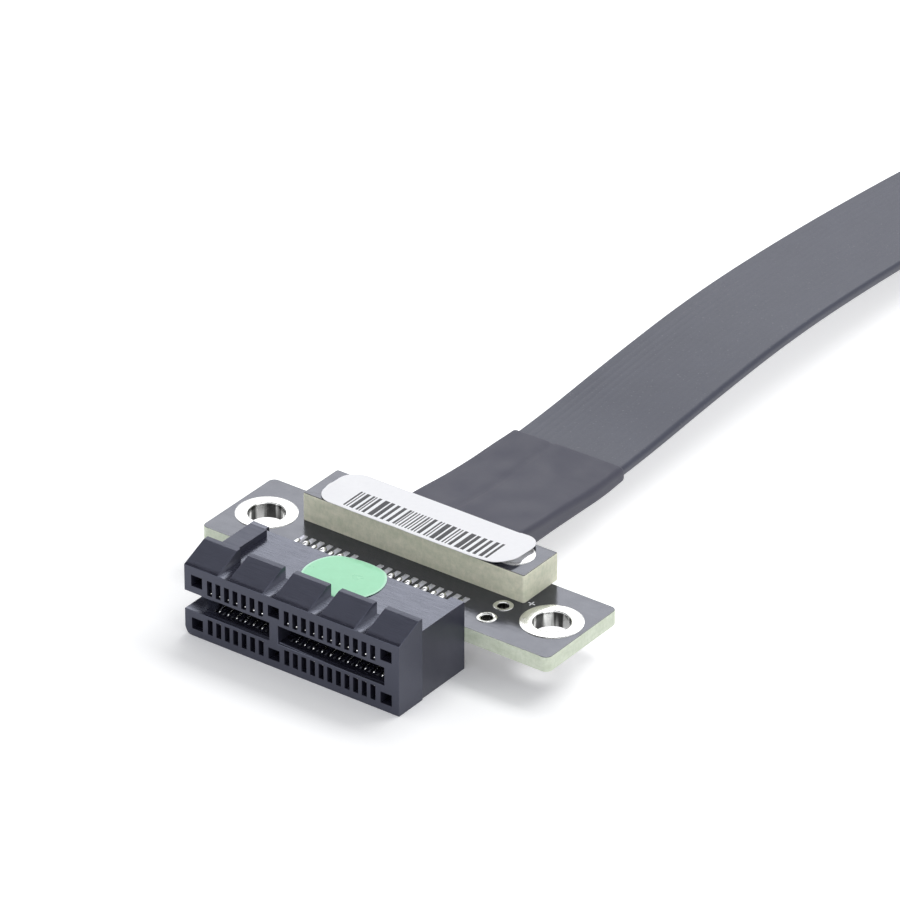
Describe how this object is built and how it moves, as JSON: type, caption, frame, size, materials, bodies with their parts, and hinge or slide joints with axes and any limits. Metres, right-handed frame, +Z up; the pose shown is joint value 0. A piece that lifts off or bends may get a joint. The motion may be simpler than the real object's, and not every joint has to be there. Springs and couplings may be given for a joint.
{
  "type": "pcie extension cable",
  "caption": "Short flat extension cable with a card-edge socket on a small screw-mounted board at one end and an edge-finger plug board at the other.",
  "frame": {"origin": "on the surface it stands on, below the middle of the socket end (socket, its board, clamp bar and label)", "axes": "+X along the socket, +Y from the socket's mating face towards the cable and the plug, +Z up"},
  "size_m": [0.0406, 0.2387, 0.0088],
  "materials": {
    "housing_plastic": "fine moulded black thermoplastic, slightly satin",
    "contact_metal": "stamped spring contacts, gold on the bumps, tin on the feet",
    "board_mask": "glossy black solder mask on glass laminate, pale green cut edges",
    "bar_laminate": "thick glass laminate, black mask on top, pale green-beige edges",
    "tinned_copper": "tinned copper and solder",
    "gold_plate": "hard gold over nickel",
    "label_film": "white film label with plain dark bars",
    "sticker_film": "pale green translucent film",
    "sleeve_film": "dark grey shrink sleeve, smooth and satin",
    "cable_jacket": "dark grey jacket with fine ribs along it"
  },
  "bodies": {
    "root": {"socket_housing": "housing_plastic", "upper_contacts": "contact_metal", "lower_contacts": "contact_metal", "main_board": "board_mask", "plug_board": "board_mask", "top_pads": "tinned_copper", "bottom_pads": "tinned_copper", "left_mount_ring": "tinned_copper", "right_mount_ring": "tinned_copper", "header_rings": "tinned_copper", "clamp_bar": "bar_laminate", "plug_clamp_bar": "bar_laminate", "bar_rings": "tinned_copper", "post_rings": "tinned_copper", "bar_posts": "tinned_copper", "socket_wires": "tinned_copper", "socket_lands": "tinned_copper", "bar_label": "label_film", "round_sticker": "sticker_film", "cable_jacket": "cable_jacket", "socket_sleeve": "sleeve_film", "plug_sleeve": "sleeve_film", "plug_fingers_top": "gold_plate", "plug_fingers_bottom": "gold_plate", "plug_bar_rings": "tinned_copper", "plug_post_rings": "tinned_copper", "plug_posts": "tinned_copper", "plug_wires": "tinned_copper", "plug_lands": "tinned_copper"}
  },
  "joints": []
}
